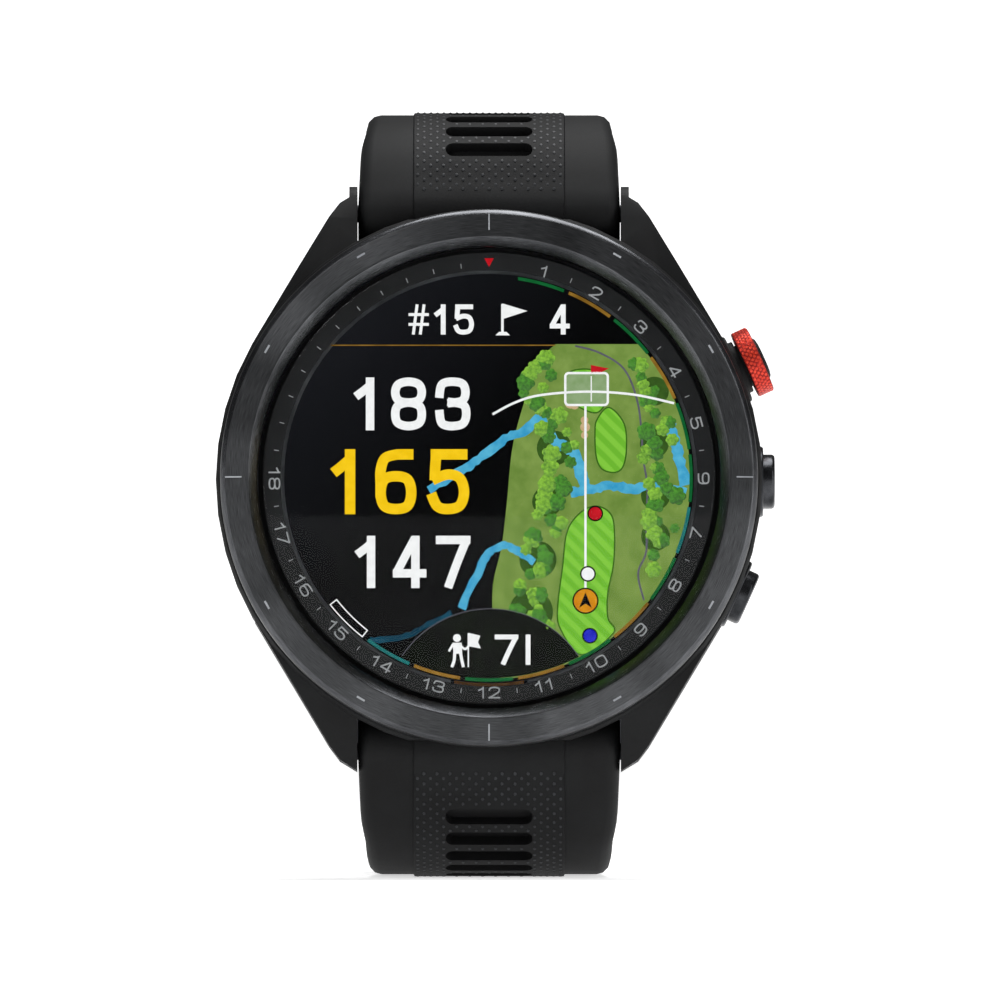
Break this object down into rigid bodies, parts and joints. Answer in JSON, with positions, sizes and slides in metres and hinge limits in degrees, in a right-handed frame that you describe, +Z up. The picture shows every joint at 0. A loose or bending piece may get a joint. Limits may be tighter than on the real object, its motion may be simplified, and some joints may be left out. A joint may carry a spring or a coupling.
{
  "type": "golf gps watch",
  "caption": "Round GPS golf watch with a numbered ring round a lit display, side buttons and an opened silicone strap with buckle, keepers and quick-release latches.",
  "frame": {"origin": "middle of the watch's box, on the surface that it stands on", "axes": "+X to 3 o'clock, where the buttons are; -Y out of the face, which leans back 3.5 degrees; +Z up, towards 12 o'clock"},
  "size_m": [0.048, 0.1088, 0.0661],
  "materials": {
    "housing_polymer": "matte moulded fibre-reinforced polymer",
    "bezel_metal": "circular brushed face with a polished inner chamfer, dark grey anodised",
    "lens_glass": "clear polished",
    "printed_ring": "gloss black print with pale grey numbers",
    "screen": "lit colour display",
    "black_rubber": "matte black",
    "magnesium": "cast, matte",
    "flex_film": "amber film",
    "circuit_board": "green solder mask",
    "shield_steel": "plain rolled",
    "battery_foil": "matte foil",
    "gold_contact": "gold plated",
    "dark_steel": "dark grey coated",
    "red_metal": "red anodised with a woven pattern",
    "sensor_glass": "dark tinted, polished",
    "sensor_plastic": "white moulded",
    "silicone": "matte black moulded silicone"
  },
  "bodies": {
    "long_strap": {"strap_long": "silicone", "claw_lower": "dark_steel"},
    "short_strap": {"strap_short": "silicone", "claw_upper": "dark_steel", "keeper_fixed": "silicone", "buckle_bar": "dark_steel"},
    "buckle": {"buckle_frame": "dark_steel"},
    "tongue": {"buckle_tongue": "dark_steel"},
    "free_keeper": {"keeper_free": "silicone"},
    "upper_latch": {"latch_slider_upper": "dark_steel"},
    "lower_latch": {"latch_slider_lower": "dark_steel"},
    "upper_button": {"button_cap_upper": "dark_steel", "button_o_ring_upper": "black_rubber", "button_clip_upper": "shield_steel", "button_collar_upper": "red_metal"},
    "middle_button": {"button_cap_middle": "dark_steel", "button_o_ring_middle": "black_rubber", "button_clip_middle": "shield_steel"},
    "lower_button": {"button_cap_lower": "dark_steel", "button_o_ring_lower": "black_rubber", "button_clip_lower": "shield_steel"},
    "head": {"back_cover": "housing_polymer", "back_cover_seal": "black_rubber", "back_screw_1": "dark_steel", "back_screw_2": "dark_steel", "back_screw_3": "dark_steel", "back_screw_4": "dark_steel", "battery_cell": "battery_foil", "bezel_ring": "bezel_metal", "button_guard_lower": "dark_steel", "button_guard_middle": "dark_steel", "button_guard_upper": "housing_polymer", "button_spring_lower": "shield_steel", "button_spring_middle": "shield_steel", "button_spring_upper": "shield_steel", "button_switch_lower": "shield_steel", "button_switch_middle": "shield_steel", "button_switch_upper": "shield_steel", "charge_contact_1": "gold_contact", "charge_contact_2": "gold_contact", "charge_contact_3": "gold_contact", "charge_contact_4": "gold_contact", "charge_port": "housing_polymer", "cover_lens": "lens_glass", "display_flex": "flex_film", "display_panel": "screen", "display_tray": "magnesium", "gps_antenna": "gold_contact", "lens_gasket": "black_rubber", "lug_pin_lower": "dark_steel", "lug_pin_upper": "dark_steel", "main_board": "circuit_board", "main_housing": "housing_polymer", "number_ring": "printed_ring", "optical_sensor": "sensor_plastic", "processor_shield": "shield_steel", "sensor_board": "circuit_board", "sensor_window": "sensor_glass", "vibration_motor": "shield_steel"}
  },
  "joints": [
    {"name": "head_tilt", "type": "hinge", "parent": "long_strap", "child": "head", "pos_m": [-0.00055, -0.04652, 0.01095], "axis": [1, 0, 0], "range_deg": [0, 60]},
    {"name": "short_strap_swing", "type": "hinge", "parent": "head", "child": "short_strap", "pos_m": [-0.00055, -0.04369, 0.05727], "axis": [1, 0, 0], "range_deg": [0, 60]},
    {"name": "upper_button_press", "type": "slide", "parent": "head", "child": "upper_button", "axis": [-0.91, -0.0253, -0.4139], "range_m": [0, 0.0005], "stiffness_N_per_m": 1500, "springref_m": -0.0003, "deforming": ["button_spring_upper"]},
    {"name": "middle_button_press", "type": "slide", "parent": "head", "child": "middle_button", "axis": [-1, 0, 0], "range_m": [0, 0.0005], "stiffness_N_per_m": 1500, "springref_m": -0.0003, "deforming": ["button_spring_middle"]},
    {"name": "lower_button_press", "type": "slide", "parent": "head", "child": "lower_button", "axis": [-0.91, 0.0253, 0.4139], "range_m": [0, 0.0005], "stiffness_N_per_m": 1500, "springref_m": -0.0003, "deforming": ["button_spring_lower"]},
    {"name": "buckle_swing", "type": "hinge", "parent": "short_strap", "child": "buckle", "pos_m": [-0.00055, -0.01065, 0.0215], "axis": [1, 0, 0], "range_deg": [-60, 25]},
    {"name": "tongue_swing", "type": "hinge", "parent": "buckle", "child": "tongue", "pos_m": [-0.00055, -0.01065, 0.0215], "axis": [1, 0, 0], "range_deg": [0, 65]},
    {"name": "free_keeper_slide", "type": "slide", "parent": "short_strap", "child": "free_keeper", "axis": [0, 0, 1], "range_m": [0, 0.0055]},
    {"name": "upper_latch_slide", "type": "slide", "parent": "short_strap", "child": "upper_latch", "axis": [0, 0.3173, 0.9483], "range_m": [0, 0.0011], "stiffness_N_per_m": 200, "springref_m": -0.0005},
    {"name": "lower_latch_slide", "type": "slide", "parent": "long_strap", "child": "lower_latch", "axis": [0, 0.1994, -0.9799], "range_m": [0, 0.0011], "stiffness_N_per_m": 200, "springref_m": -0.0005}
  ]
}
